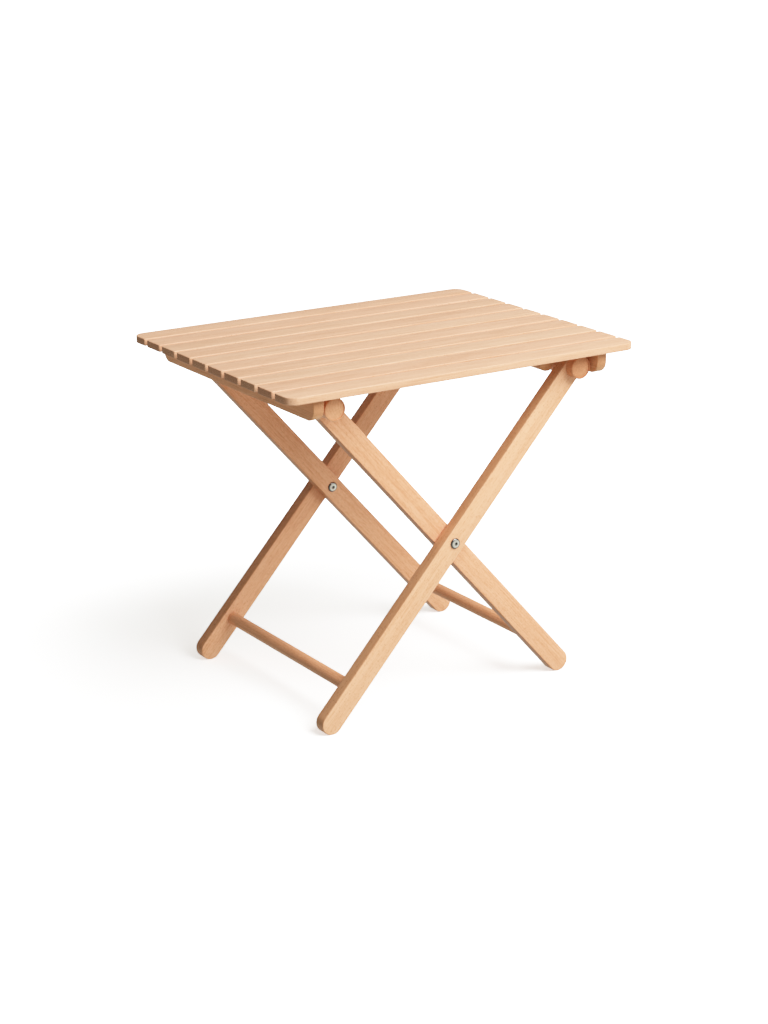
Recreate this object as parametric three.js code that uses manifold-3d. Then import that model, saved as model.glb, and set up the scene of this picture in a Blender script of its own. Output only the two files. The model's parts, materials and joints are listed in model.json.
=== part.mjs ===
// Folding side table: a slatted top resting on the rods of an X-frame of two leg pairs.
// Millimetres, +Z up. X runs along the slats, Y from front to rear.
// The origin is on the floor, under the centre of the top. The table stands open.
import * as THREE from "three";
import { mergeVertices } from "three/addons/utils/BufferGeometryUtils.js";
import Module from "manifold-3d";

const wasm = await Module();
wasm.setup();

// Overall
const TABLE_HEIGHT = 525;
const FIT_GAP = 0.3; // between two pieces that touch
const OVERSHOOT = 1; // how far a drill runs out past the face it enters
const EDGE_EASE = 1.5; // small bevel along every sawn edge

// Slats
const SLAT_COUNT = 10;
const SLAT_LENGTH = 600;
const SLAT_WIDTH = 40;
const SLAT_THICKNESS = 11;
const SLAT_CORNER_RADIUS = 3;
const TOP_DEPTH = 460;
const TOP_CORNER_RADIUS = 18;

// Battens under the slats
const BATTEN_LENGTH = 436;
const BATTEN_HEIGHT = 32.5;
const BATTEN_THICKNESS = 16.5;
const BATTEN_OFFSET = 245.9; // from the centre of the top to the batten's middle
const BATTEN_CORNER_RADIUS = 18;
const BATTEN_TOP_RADIUS = 2.5;
const BATTEN_SCREW_MARGIN = 14; // from the batten's ends

// Legs
const FRAME_OFFSET = 2.3; // the legs' pivot lies this far to the right of the top's centre
const LEG_ANGLE = THREE.MathUtils.degToRad(48); // above the floor
const LEG_WIDTH = 34;
const LEG_THICKNESS = 20;
const LEG_SPACE = 1.5; // between the inner and the outer leg
const OUTER_LEG_FACE = 190.2; // from the middle of the table to the outer leg's outer face
const ROD_REACH = 320; // pivot to top rod
const FOOT_REACH = 318.5; // pivot to the centre of the round foot
const RUNG_REACH = 259; // pivot to lower rung

// Top rods, their end caps, and rungs
const ROD_DIAMETER = 34;
const ROD_TENON_DIAMETER = 16;
const CAP_FACE = 206; // from the middle of the table to a cap's end face
const CAP_WALL = 6; // wood left between the tenon and the cap's end face
const RUNG_DIAMETER = 19;
const RUNG_TENON_DIAMETER = 13;
const RUNG_TENON_LENGTH = 12;

// Saddle blocks that hold the rods
const SADDLE_DEPTH = 38;
const SADDLE_INBOARD = 49; // from the rod's axis towards the middle of the table
const SADDLE_DROP = 7.5; // below the rod's axis
const SADDLE_CORNER_RADIUS = 13;
const SADDLE_FLARE = 42; // degrees from upright, the notch's open side
const SADDLE_SCREW_INSET = 11; // from the saddle's inboard face
const SADDLE_SCREW_MARGIN = 8; // from the saddle's front and rear faces

// Wood screws
const SCREW_LENGTH = 32;
const SCREW_BITE = 8; // how far it reaches into the slat
const SCREW_HEAD_RADIUS = 4;
const SCREW_HEAD_RIM = 0.6;
const SCREW_HEAD_CONE = 2.6;
const SCREW_SHANK_RADIUS = 1.9;
const SCREW_TIP_LENGTH = 4;
const COUNTERBORE_RADIUS = 5;

// Pivot fastener: a bolt and a sleeve nut with a washer between the legs
const FASTENER_HEAD_RADIUS = 8;
const FASTENER_HEAD_RIM = 1.2;
const FASTENER_HEAD_HEIGHT = 3;
const FASTENER_SHOULDER_RADIUS = 6.4; // where the dome turns over
const FASTENER_SHOULDER_HEIGHT = 2.5;
const FASTENER_CROWN_RADIUS = 3.6;
const SLEEVE_RADIUS = 4.5;
const SLEEVE_RECESS = 3; // the sleeve stops this far short of the outer leg's face
const BOLT_RADIUS = 3;
const BOLT_LENGTH = 34;
const SOCKET_RADIUS = 2.9; // across the corners of the hex socket
const SOCKET_DEPTH = 2;
const SOCKET_SIDES = 6;
const WASHER_RADIUS = 11;
const METAL_CLEARANCE = 0.1; // heads and washers against the wood

// Smoothness
const ARC_STEP = 12; // degrees
const SMALL_RADIUS = 5; // arcs up to this radius take the coarser step
const SMALL_ARC_STEP = 45;
const ROUND_SEGMENTS = 24;
const HOLE_SEGMENTS = 12;
const SCREW_SEGMENTS = 8;

// Derived sizes
const PIVOT_HEIGHT = FOOT_REACH * Math.sin(LEG_ANGLE) + LEG_WIDTH / 2;
const ROD_X = ROD_REACH * Math.cos(LEG_ANGLE);
const ROD_Z = PIVOT_HEIGHT + ROD_REACH * Math.sin(LEG_ANGLE);
const RUNG_X = RUNG_REACH * Math.cos(LEG_ANGLE);
const RUNG_Z = PIVOT_HEIGHT - RUNG_REACH * Math.sin(LEG_ANGLE);
const SLAT_UNDERSIDE = TABLE_HEIGHT - SLAT_THICKNESS;
const BLOCK_TOP = SLAT_UNDERSIDE - FIT_GAP;
const SLAT_PITCH = (TOP_DEPTH - SLAT_WIDTH) / (SLAT_COUNT - 1);
const OUTER_LEG_INSIDE = OUTER_LEG_FACE - LEG_THICKNESS;
const INNER_LEG_FACE = OUTER_LEG_INSIDE - LEG_SPACE;
const INNER_LEG_INSIDE = INNER_LEG_FACE - LEG_THICKNESS;
const SCREW_FOOT = SLAT_UNDERSIDE + SCREW_BITE - SCREW_LENGTH;
const COUNTERBORE_TOP = SCREW_FOOT + SCREW_HEAD_RIM + SCREW_HEAD_CONE + FIT_GAP;

const SIDES = { left: -1, right: 1 };
const ENDS = { front: -1, rear: 1 };

// Materials
function wood(color, roughness) {
  return new THREE.MeshStandardMaterial({ color, roughness, metalness: 0 });
}

function metal(color, roughness) {
  return new THREE.MeshStandardMaterial({ color, roughness, metalness: 1 });
}

const SLAT_BEECH = wood(0xe6c7a4, 0.5);
const FRAME_BEECH = wood(0xe8c39c, 0.5);
const TURNED_BEECH = wood(0xd9ae86, 0.55);
const NICKEL = metal(0xc9c5bf, 0.25);
const ZINC = metal(0xb9bcc0, 0.4);
const NYLON = new THREE.MeshStandardMaterial({ color: 0xd8d3c8, roughness: 0.6, metalness: 0 });

// Geometry helpers

// Points along an arc, angles in degrees, both ends included.
function arc(x, y, radius, from, to) {
  const step = radius > SMALL_RADIUS ? ARC_STEP : SMALL_ARC_STEP;
  const steps = Math.max(1, Math.round(Math.abs(to - from) / step));
  return Array.from({ length: steps + 1 }, (_, i) => {
    const angle = THREE.MathUtils.degToRad(from + ((to - from) * i) / steps);
    return new THREE.Vector2(x + radius * Math.cos(angle), y + radius * Math.sin(angle));
  });
}

// A rectangle with its own radius at each corner, anticlockwise from the lower left.
function roundedRectangle(x0, y0, x1, y1, [lowLeft, lowRight, highRight, highLeft]) {
  return new THREE.Shape([
    ...arc(x0 + lowLeft, y0 + lowLeft, lowLeft, 180, 270),
    ...arc(x1 - lowRight, y0 + lowRight, lowRight, 270, 360),
    ...arc(x1 - highRight, y1 - highRight, highRight, 0, 90),
    ...arc(x0 + highLeft, y1 - highLeft, highLeft, 90, 180),
  ]);
}

// A board of the given outline, bevelled along both faces and centred on its thickness.
function board(shape, thickness) {
  const depth = thickness - 2 * EDGE_EASE;
  const geometry = new THREE.ExtrudeGeometry(shape, {
    depth,
    bevelThickness: EDGE_EASE,
    bevelSize: EDGE_EASE,
    bevelOffset: -EDGE_EASE,
    bevelSegments: 1,
  });
  return geometry.translate(0, 0, -depth / 2);
}

// A board whose outline is drawn in X and Z, with its thickness along Y.
function boardAlongY(shape, thickness) {
  return board(shape, thickness).rotateX(Math.PI / 2);
}

// A board whose outline is drawn in Y and Z, with its thickness along X.
function boardAlongX(shape, thickness) {
  const x = new THREE.Vector3(1, 0, 0);
  const y = new THREE.Vector3(0, 1, 0);
  const z = new THREE.Vector3(0, 0, 1);
  return board(shape, thickness).applyMatrix4(new THREE.Matrix4().makeBasis(y, z, x));
}

// A piece turned about the Y axis from [radius, y] pairs.
function turned(pairs, segments) {
  return new THREE.LatheGeometry(
    pairs.map(([radius, y]) => new THREE.Vector2(radius, y)),
    segments,
  );
}

// A cylinder along Y between two heights, used to drill holes.
function drillAlongY(radius, x, y0, y1, segments = HOLE_SEGMENTS) {
  const length = Math.abs(y1 - y0);
  return new THREE.CylinderGeometry(radius, radius, length, segments).translate(x, (y0 + y1) / 2, 0);
}

// The same, along Z.
function drillAlongZ(radius, x, y, z0, z1, segments = SCREW_SEGMENTS) {
  const cylinder = new THREE.CylinderGeometry(radius, radius, z1 - z0, segments);
  return cylinder.rotateX(Math.PI / 2).translate(x, y, (z0 + z1) / 2);
}

function toSolid(geometry) {
  const bare = geometry.clone();
  bare.deleteAttribute("normal");
  bare.deleteAttribute("uv");
  const merged = mergeVertices(bare);
  return new wasm.Manifold(
    new wasm.Mesh({
      numProp: 3,
      vertProperties: new Float32Array(merged.getAttribute("position").array),
      triVerts: new Uint32Array(merged.getIndex().array),
    }),
  );
}

function toGeometry(solid) {
  const mesh = solid.getMesh();
  const geometry = new THREE.BufferGeometry();
  geometry.setAttribute("position", new THREE.BufferAttribute(mesh.vertProperties, mesh.numProp));
  geometry.setIndex(new THREE.BufferAttribute(mesh.triVerts, 1));
  geometry.computeVertexNormals();
  return geometry;
}

function cut(geometry, tools) {
  const solid = tools.reduce((rest, tool) => rest.subtract(toSolid(tool)), toSolid(geometry));
  return toGeometry(solid);
}

function piece(name, geometry, material) {
  const mesh = new THREE.Mesh(geometry, material);
  mesh.name = name;
  return mesh;
}

function twoDigits(number) {
  return String(number).padStart(2, "0");
}

// The top

function slatY(index) {
  return (index - (SLAT_COUNT - 1) / 2) * SLAT_PITCH;
}

// Pilot holes, in the slat's own frame, for the screws that come up from below.
function pilotHoles(places) {
  const bottom = -SLAT_THICKNESS / 2;
  return places.map(([x, y]) =>
    drillAlongZ(SCREW_SHANK_RADIUS + FIT_GAP, x, y, bottom - OVERSHOOT, bottom + SCREW_BITE + FIT_GAP),
  );
}

function slat(index, screwPlaces) {
  const small = SLAT_CORNER_RADIUS;
  const front = index === 0 ? TOP_CORNER_RADIUS : small;
  const rear = index === SLAT_COUNT - 1 ? TOP_CORNER_RADIUS : small;
  const [x, y] = [SLAT_LENGTH / 2, SLAT_WIDTH / 2];
  const outline = roundedRectangle(-x, -y, x, y, [front, front, rear, rear]);
  const centre = slatY(index);
  const places = screwPlaces
    .filter((place) => Math.abs(place.y - centre) < SLAT_WIDTH / 2)
    .map((place) => [place.x, place.y - centre]);
  const geometry = cut(board(outline, SLAT_THICKNESS), pilotHoles(places));
  const mesh = piece("slat_" + twoDigits(index + 1), geometry, SLAT_BEECH);
  mesh.position.set(0, centre, TABLE_HEIGHT - SLAT_THICKNESS / 2);
  return mesh;
}

// One screw per slat, kept clear of the battens' rounded ends.
const BATTEN_SCREW_YS = Array.from({ length: SLAT_COUNT }, (_, i) => {
  const reach = BATTEN_LENGTH / 2 - BATTEN_SCREW_MARGIN;
  return THREE.MathUtils.clamp(slatY(i), -reach, reach);
});

// A clearance hole with a counterbore below it, for one screw.
function screwHole(x, y, bottom) {
  return [
    drillAlongZ(SCREW_SHANK_RADIUS + FIT_GAP, x, y, SCREW_FOOT, TABLE_HEIGHT),
    drillAlongZ(COUNTERBORE_RADIUS, x, y, bottom - OVERSHOOT, COUNTERBORE_TOP, HOLE_SEGMENTS),
  ];
}

function batten(side) {
  const half = BATTEN_LENGTH / 2;
  const [big, small] = [BATTEN_CORNER_RADIUS, BATTEN_TOP_RADIUS];
  const bottom = BLOCK_TOP - BATTEN_HEIGHT;
  const outline = roundedRectangle(-half, bottom, half, BLOCK_TOP, [big, big, small, small]);
  const holes = BATTEN_SCREW_YS.flatMap((y) => screwHole(0, y, bottom));
  const mesh = piece("batten_" + side, cut(boardAlongX(outline, BATTEN_THICKNESS), holes), SLAT_BEECH);
  mesh.position.x = SIDES[side] * BATTEN_OFFSET;
  return mesh;
}

// Outline of a saddle block about the rod's axis; the middle of the table is towards -X.
function saddleOutline(outboard) {
  const rod = ROD_DIAMETER / 2 + FIT_GAP;
  const top = BLOCK_TOP - ROD_Z;
  const flare = THREE.MathUtils.degToRad(SADDLE_FLARE);
  const mouthDrop = rod * Math.sin(flare) + SADDLE_DROP;
  const mouth = rod * Math.cos(flare) + mouthDrop * Math.tan(flare);
  const corner = SADDLE_CORNER_RADIUS;
  return new THREE.Shape([
    new THREE.Vector2(outboard, -SADDLE_DROP),
    new THREE.Vector2(outboard, top),
    new THREE.Vector2(-SADDLE_INBOARD, top),
    ...arc(corner - SADDLE_INBOARD, corner - SADDLE_DROP, corner, 180, 270),
    new THREE.Vector2(-mouth, -SADDLE_DROP),
    ...arc(0, 0, rod, 180 - SADDLE_FLARE, 0),
    new THREE.Vector2(rod, -SADDLE_DROP),
  ]);
}

// Where a saddle's middle and its screw lie: the saddle stands just inside its leg.
function saddlePlace(side, end) {
  const legInside = side === "right" ? OUTER_LEG_INSIDE : INNER_LEG_INSIDE;
  const x = SIDES[side] * ROD_X + FRAME_OFFSET;
  const y = ENDS[end] * (legInside - LEG_SPACE - SADDLE_DEPTH / 2);
  return { x, y, screwX: x - SIDES[side] * (SADDLE_INBOARD - SADDLE_SCREW_INSET) };
}

// The screw keeps to the middle of the slat that covers most of the saddle.
function saddleScrewPlace(side, end) {
  const { y, screwX } = saddlePlace(side, end);
  const middles = Array.from({ length: SLAT_COUNT }, (_, i) => slatY(i));
  const nearest = middles.reduce((a, b) => (Math.abs(b - y) < Math.abs(a - y) ? b : a));
  const reach = SADDLE_DEPTH / 2 - SADDLE_SCREW_MARGIN;
  return { x: screwX, y: THREE.MathUtils.clamp(nearest, y - reach, y + reach) };
}

function saddle(side, end) {
  const { x, y } = saddlePlace(side, end);
  const screw = saddleScrewPlace(side, end);
  const turn = SIDES[side]; // the left blocks are turned half round
  const holes = screwHole((screw.x - x) * turn, (screw.y - y) * turn, ROD_Z - SADDLE_DROP);
  const lowered = holes.map((hole) => hole.translate(0, 0, -ROD_Z));
  const outboard = BATTEN_OFFSET - BATTEN_THICKNESS / 2 - FIT_GAP - Math.abs(x);
  const geometry = cut(boardAlongY(saddleOutline(outboard), SADDLE_DEPTH), lowered);
  const mesh = piece(`saddle_${side}_${end}`, geometry, SLAT_BEECH);
  mesh.position.set(x, y, ROD_Z);
  mesh.rotation.z = side === "right" ? 0 : Math.PI;
  return mesh;
}

// A countersunk wood screw, head down.
function woodScrew(name, place) {
  const neck = SCREW_HEAD_RIM + SCREW_HEAD_CONE;
  const profile = [
    [0, 0],
    [SCREW_HEAD_RADIUS, 0],
    [SCREW_HEAD_RADIUS, SCREW_HEAD_RIM],
    [SCREW_SHANK_RADIUS, neck],
    [SCREW_SHANK_RADIUS, SCREW_LENGTH - SCREW_TIP_LENGTH],
    [0, SCREW_LENGTH],
  ];
  const mesh = piece(name, turned(profile, SCREW_SEGMENTS).rotateX(Math.PI / 2), ZINC);
  mesh.position.set(place.x, place.y, SCREW_FOOT);
  return mesh;
}

function tabletop() {
  const group = new THREE.Group();
  const battenScrews = [];
  for (const side of Object.keys(SIDES)) {
    group.add(batten(side));
    BATTEN_SCREW_YS.forEach((y, i) => {
      const place = { x: SIDES[side] * BATTEN_OFFSET, y };
      battenScrews.push(place);
      group.add(woodScrew(`slat_screw_${side}_${twoDigits(i + 1)}`, place));
    });
  }
  const saddleScrews = [];
  for (const side of Object.keys(SIDES)) {
    for (const end of Object.keys(ENDS)) {
      const place = saddleScrewPlace(side, end);
      saddleScrews.push(place);
      group.add(saddle(side, end));
      group.add(woodScrew(`saddle_screw_${side}_${end}`, place));
    }
  }
  for (let i = 0; i < SLAT_COUNT; i++) group.add(slat(i, [...battenScrews, ...saddleScrews]));
  return group;
}

// The two frames

// A leg about its pivot, along X, with its top at +X. Its rung side faces +Y or -Y.
function legGeometry(rungSide) {
  const radius = LEG_WIDTH / 2;
  const outline = new THREE.Shape([
    ...arc(ROD_REACH, 0, radius, -90, 90),
    ...arc(-FOOT_REACH, 0, radius, 90, 270),
  ]);
  const face = rungSide * (LEG_THICKNESS / 2);
  const mortise = face - rungSide * (RUNG_TENON_LENGTH + FIT_GAP);
  return cut(boardAlongY(outline, LEG_THICKNESS), [
    drillAlongY(ROD_TENON_DIAMETER / 2 + FIT_GAP, ROD_REACH, -LEG_THICKNESS, LEG_THICKNESS),
    drillAlongY(SLEEVE_RADIUS + FIT_GAP, 0, -LEG_THICKNESS, LEG_THICKNESS),
    drillAlongY(RUNG_TENON_DIAMETER / 2 + FIT_GAP, -RUNG_REACH, face + rungSide * OVERSHOOT, mortise),
  ]);
}

// A rod or rung with a thinner tenon at each end.
function tenoned(radius, shoulder, tenonRadius, tenonEnd, segments) {
  return turned(
    [
      [0, -tenonEnd],
      [tenonRadius, -tenonEnd],
      [tenonRadius, -shoulder],
      [radius, -shoulder],
      [radius, shoulder],
      [tenonRadius, shoulder],
      [tenonRadius, tenonEnd],
      [0, tenonEnd],
    ],
    segments,
  );
}

// The round cap glued on a tenon, from the leg's outer face outwards along +Y.
function capGeometry(length) {
  const radius = ROD_DIAMETER / 2;
  const bore = ROD_TENON_DIAMETER / 2 + FIT_GAP;
  const boreEnd = length - CAP_WALL;
  return turned(
    [
      [0, boreEnd],
      [bore, boreEnd],
      [bore, 0],
      [radius, 0],
      [radius, length - EDGE_EASE],
      [radius - EDGE_EASE, length],
      [0, length],
    ],
    ROUND_SEGMENTS,
  );
}

// One frame: two legs, the rod at their tops with its caps, and the rung.
function frame(name, lean, legFace) {
  const group = new THREE.Group();
  group.position.x = FRAME_OFFSET;
  const inside = legFace - LEG_THICKNESS;
  const rodX = lean * ROD_X;
  const tenonEnd = CAP_FACE - CAP_WALL - FIT_GAP;
  const rodRadius = ROD_DIAMETER / 2;
  const rodTenon = ROD_TENON_DIAMETER / 2;
  const rod = tenoned(rodRadius, inside - FIT_GAP, rodTenon, tenonEnd, ROUND_SEGMENTS);
  const rodMesh = piece(name + "_top_rod", rod, TURNED_BEECH);
  rodMesh.position.set(rodX, 0, ROD_Z);
  group.add(rodMesh);

  const rungTenon = RUNG_TENON_DIAMETER / 2;
  const rungEnd = inside + RUNG_TENON_LENGTH;
  const rung = tenoned(RUNG_DIAMETER / 2, inside - FIT_GAP, rungTenon, rungEnd, ROUND_SEGMENTS);
  const rungMesh = piece(name + "_rung", rung, TURNED_BEECH);
  rungMesh.position.set(-lean * RUNG_X, 0, RUNG_Z);
  group.add(rungMesh);

  for (const [end, sign] of Object.entries(ENDS)) {
    const leg = piece(`${name}_leg_${end}`, legGeometry(-sign), FRAME_BEECH);
    leg.position.set(0, sign * (legFace - LEG_THICKNESS / 2), PIVOT_HEIGHT);
    leg.rotation.y = lean > 0 ? -LEG_ANGLE : LEG_ANGLE - Math.PI;
    const cap = piece(`${name}_rod_cap_${end}`, capGeometry(CAP_FACE - legFace - FIT_GAP), TURNED_BEECH);
    cap.position.set(rodX, sign * (legFace + FIT_GAP), ROD_Z);
    cap.rotation.z = sign > 0 ? 0 : Math.PI;
    group.add(leg, cap);
  }
  return group;
}

// The pivots

// A domed head standing on y = 0, drawn as the end of a profile.
const DOMED_HEAD = [
  [FASTENER_HEAD_RADIUS, 0],
  [FASTENER_HEAD_RADIUS, FASTENER_HEAD_RIM],
  [FASTENER_SHOULDER_RADIUS, FASTENER_SHOULDER_HEIGHT],
  [FASTENER_CROWN_RADIUS, FASTENER_HEAD_HEIGHT],
  [0, FASTENER_HEAD_HEIGHT],
];

// A fastener turned from its shank's profile and the head, with the hex socket cut in its top.
function headedPiece(shank) {
  const [top, bottom] = [FASTENER_HEAD_HEIGHT + OVERSHOOT, FASTENER_HEAD_HEIGHT - SOCKET_DEPTH];
  const socket = drillAlongY(SOCKET_RADIUS, 0, bottom, top, SOCKET_SIDES);
  return cut(turned([...shank, ...DOMED_HEAD], ROUND_SEGMENTS), [socket]);
}

// Bolt with its head at y = 0 upwards and its shank below.
function boltGeometry() {
  return headedPiece([
    [0, -BOLT_LENGTH],
    [BOLT_RADIUS, -BOLT_LENGTH],
    [BOLT_RADIUS, 0],
  ]);
}

// Sleeve nut with its head at y = 0 upwards; its bore opens at the lower end.
function sleeveGeometry(length) {
  const bore = BOLT_RADIUS + FIT_GAP;
  return headedPiece([
    [0, -FASTENER_HEAD_RIM],
    [bore, -FASTENER_HEAD_RIM],
    [bore, -length],
    [SLEEVE_RADIUS, -length],
    [SLEEVE_RADIUS, 0],
  ]);
}

function washerGeometry() {
  const half = LEG_SPACE / 2 - METAL_CLEARANCE;
  const bore = SLEEVE_RADIUS + FIT_GAP;
  const section = [
    [bore, -half],
    [WASHER_RADIUS, -half],
    [WASHER_RADIUS, half],
    [bore, half],
    [bore, -half],
  ];
  return turned(section, ROUND_SEGMENTS);
}

function pivots() {
  const group = new THREE.Group();
  group.position.x = FRAME_OFFSET;
  for (const [end, sign] of Object.entries(ENDS)) {
    const outwards = sign > 0 ? 0 : Math.PI;
    const bolt = piece("pivot_bolt_" + end, boltGeometry(), NICKEL);
    bolt.position.set(0, sign * (OUTER_LEG_FACE + METAL_CLEARANCE), PIVOT_HEIGHT);
    bolt.rotation.z = outwards;

    const sleeveLength = OUTER_LEG_FACE - SLEEVE_RECESS - INNER_LEG_INSIDE;
    const sleeve = piece("pivot_sleeve_" + end, sleeveGeometry(sleeveLength), NICKEL);
    sleeve.position.set(0, sign * (INNER_LEG_INSIDE - METAL_CLEARANCE), PIVOT_HEIGHT);
    sleeve.rotation.z = Math.PI - outwards;

    const washer = piece("pivot_washer_" + end, washerGeometry(), NYLON);
    washer.position.set(0, sign * (INNER_LEG_FACE + LEG_SPACE / 2), PIVOT_HEIGHT);
    group.add(bolt, sleeve, washer);
  }
  return group;
}

const table = new THREE.Group();
table.add(tabletop());
table.add(frame("outer", 1, OUTER_LEG_FACE));
table.add(frame("inner", -1, INNER_LEG_FACE));
table.add(pivots());

export default table;
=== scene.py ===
"""Looks for the folding side table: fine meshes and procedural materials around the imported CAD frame."""

import json
import math
import random

import bmesh
import bpy
from mathutils import Matrix, Vector


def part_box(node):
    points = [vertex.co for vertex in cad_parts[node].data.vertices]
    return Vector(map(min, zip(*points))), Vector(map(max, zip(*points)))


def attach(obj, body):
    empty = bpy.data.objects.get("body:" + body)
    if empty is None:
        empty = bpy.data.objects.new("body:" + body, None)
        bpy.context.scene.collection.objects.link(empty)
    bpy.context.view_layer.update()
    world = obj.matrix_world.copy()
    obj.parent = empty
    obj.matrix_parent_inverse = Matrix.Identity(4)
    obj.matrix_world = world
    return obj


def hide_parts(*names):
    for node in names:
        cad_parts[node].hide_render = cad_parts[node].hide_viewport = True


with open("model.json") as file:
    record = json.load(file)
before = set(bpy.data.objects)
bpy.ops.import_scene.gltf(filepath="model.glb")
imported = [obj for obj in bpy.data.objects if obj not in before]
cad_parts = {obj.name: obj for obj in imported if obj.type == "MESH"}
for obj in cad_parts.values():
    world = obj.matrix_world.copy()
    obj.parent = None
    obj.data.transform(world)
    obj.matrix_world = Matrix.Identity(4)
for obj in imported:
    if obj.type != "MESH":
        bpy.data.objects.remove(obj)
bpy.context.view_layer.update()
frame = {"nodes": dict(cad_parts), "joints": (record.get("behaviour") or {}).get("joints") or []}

MM = 0.001
Y_AXIS = Vector((0, 1, 0))
ENDS = {"front": -1, "rear": 1}
SIDES = {"left": -1, "right": 1}
PIVOT = Vector(next(j for j in frame["joints"] if j["name"] == "leg_fold")["pos_m"])

# Fineness
ROUND_STEPS = 72  # around a turned piece
SCREW_STEPS = 20
HOLE_STEPS = 24
PIN_HOLE_STEPS = 32
TENON_HOLE_STEPS = 40
ARC_STEP = 5  # degrees, on sawn outlines
EASE_STEPS = 4  # across a rounded edge
DOME_STEPS = 8
SMOOTH_ANGLE = math.radians(40)
TINY = 1e-7

# Edges and corners
SLAT_EDGE = 1.3 * MM
LEG_EDGE = 1.6 * MM
BATTEN_EDGE = 1.5 * MM
SADDLE_EDGE = 0.8 * MM
CAP_EDGE = 2.0 * MM
SHOULDER_EDGE = 0.4 * MM
TENON_EDGE = 1 * MM
TOP_CORNER = 18 * MM
SLAT_CORNER = 2.6 * MM
BATTEN_CORNER = 18 * MM
BATTEN_TOP_CORNER = 2.5 * MM
SADDLE_CORNER = 13 * MM
SADDLE_FLARE = 42  # degrees from upright, the notch's open side

# Holes and the pieces in them; sizes across a round are radii
GAP = 0.3 * MM  # clearance round a screw, a tenon or a rod
OVERSHOOT = 1 * MM  # how far a drill runs past a face
ROD_TENON = 8 * MM
RUNG_TENON = 6.5 * MM
CAP_BORE = 8.3 * MM
CAP_WALL = 6 * MM  # between the bore and the cap's end face
COUNTERBORE = 5 * MM
COUNTERBORE_DEPTH = 3.5 * MM  # from the foot of a screw up to the shoulder it bears on

# Wood screws
SCREW_SHANK = 1.9 * MM
SCREW_RIM = 0.6 * MM
SCREW_RIM_EDGE = 0.2 * MM
SCREW_NECK = 3.2 * MM  # from the foot to where the shank begins
SCREW_THREAD_START = 10 * MM
SCREW_THREAD_DEPTH = 0.45 * MM
SCREW_PITCH = 1.6 * MM
SCREW_POINT = 4 * MM
RECESS_LENGTH = 2.3 * MM  # half sizes of each bar that cuts the cross recess
RECESS_WIDTH = 0.45 * MM
RECESS_DEPTH = 1.3 * MM

# Pivot fasteners
HEAD_HEIGHT = 3 * MM
HEAD_RIM = 0.5 * MM
DOME_RISE = 0.9  # powers that flatten the dome and fill out its shoulder
DOME_SPREAD = 0.75
SOCKET_RADIUS = 2.9 * MM
SOCKET_DEPTH = 2 * MM
SOCKET_SIDES = 6
BOLT_CREST = 3 * MM
BOLT_ROOT = 2.6 * MM
BOLT_PITCH = 1 * MM
BOLT_RUNOUT = 0.4 * MM
BOLT_PLAIN_SHARE = 0.45  # of the shank, next to the head
SLEEVE_BORE = 3.3 * MM
SLEEVE_BARREL = 4.5 * MM
SLEEVE_EDGE = 0.4 * MM
SLEEVE_CLOSED_END = 1.2 * MM
WASHER_BORE = 4.8 * MM
WASHER_EDGE = 0.25 * MM

# How each wood piece was cut: degrees its section is turned in the log, and how far out from the pith
FLAT_SAWN, RIFT_SAWN = 90, 35
RIFT_EVERY = 3  # one slat in this many
BATTEN_TURN, SADDLE_TURN, LEG_TURN = 70, 60, 75
BOARD_PITH = (70, 130)
DOWEL_PITH = (30, 60)
CAP_PITH = (15, 40)
TURN_SPREAD = 14
ALONG_SPREAD = 3  # metres up the trunk

# Lightness and pinkness of the pieces: slats from the front to the rear
SLAT_TONES = [
    (0.3, -0.1), (-0.1, 0.5), (0.2, -0.6), (-0.3, 0.1), (0.1, 0.4),
    (0.3, -0.4), (-0.2, 0.3), (0.0, -0.3), (0.2, 0.5), (-0.1, 0.0),
]
BATTEN_TONE = (-0.2, 0.2)
SADDLE_TONE_STEPS = (0.1, -0.2)
LEG_TONES = {
    "outer_leg_front": (0.9, -0.9),
    "outer_leg_rear": (0.1, 0.2),
    "inner_leg_front": (0.0, 0.3),
    "inner_leg_rear": (-0.2, 0.0),
}
DOWEL_TONE = (0.2, -0.2)
CAP_TONES = {"inner": (1.1, -1.0), "outer": (-0.8, 0.3)}

# Seeds, one for each wood piece
SLAT_SEED, BATTEN_SEED, SADDLE_SEED = 100, 200, 230
LEG_SEEDS = {"outer": 300, "inner": 310}
ROD_SEED, RUNG_SEED, CAP_SEED = 400, 410, 420

# Camera, about the middle of the table
CAMERA_AZIMUTH = math.radians(-33.207)
CAMERA_ELEVATION = math.radians(17.692)
CAMERA_ROLL = math.radians(-0.098)
CAMERA_DISTANCE = 3.5
CAMERA_TARGET = Vector((0.0093, 0.0103, 0.2475))
CAMERA_LENS = 80.04
CAMERA_SENSOR = 36
CAMERA_REACH = 50  # metres

# Light and film
SKY_FILL = 0.42
BOUNCE_FILL = 0.95
HORIZON = 0.25  # half width of the change from one to the other
FILL_TINT = (1.0, 1.02, 0.88, 1)
ROOM_LEAN = (0.45, -0.25, 0)
KEY_PLACE = (1.0, -2.4, 3.05)
KEY_TARGET = (0, 0, 0.3)
KEY_SIZE = 2.8
KEY_POWER = 402
FLOOR_SIZE = 40
FLOOR_TONES = (1.48, 1.52)
FLOOR_GLOW = (0.85, 3.0)  # at the table's feet, and added further out
FLOOR_GLOW_RANGE = (0.35, 0.95)
WHITE = 3.2  # the linear level that develops to white
CURVE_STEPS = 12
CURVE_BUNCHING = 1.6


# ---------------------------------------------------------------- geometry

def arc(x, y, radius, start, end):
    """Points of an arc, angles in degrees, both ends included."""
    steps = max(2, round(abs(end - start) / ARC_STEP))
    angles = [math.radians(start + (end - start) * i / steps) for i in range(steps + 1)]
    return [(x + radius * math.cos(a), y + radius * math.sin(a)) for a in angles]


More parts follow.
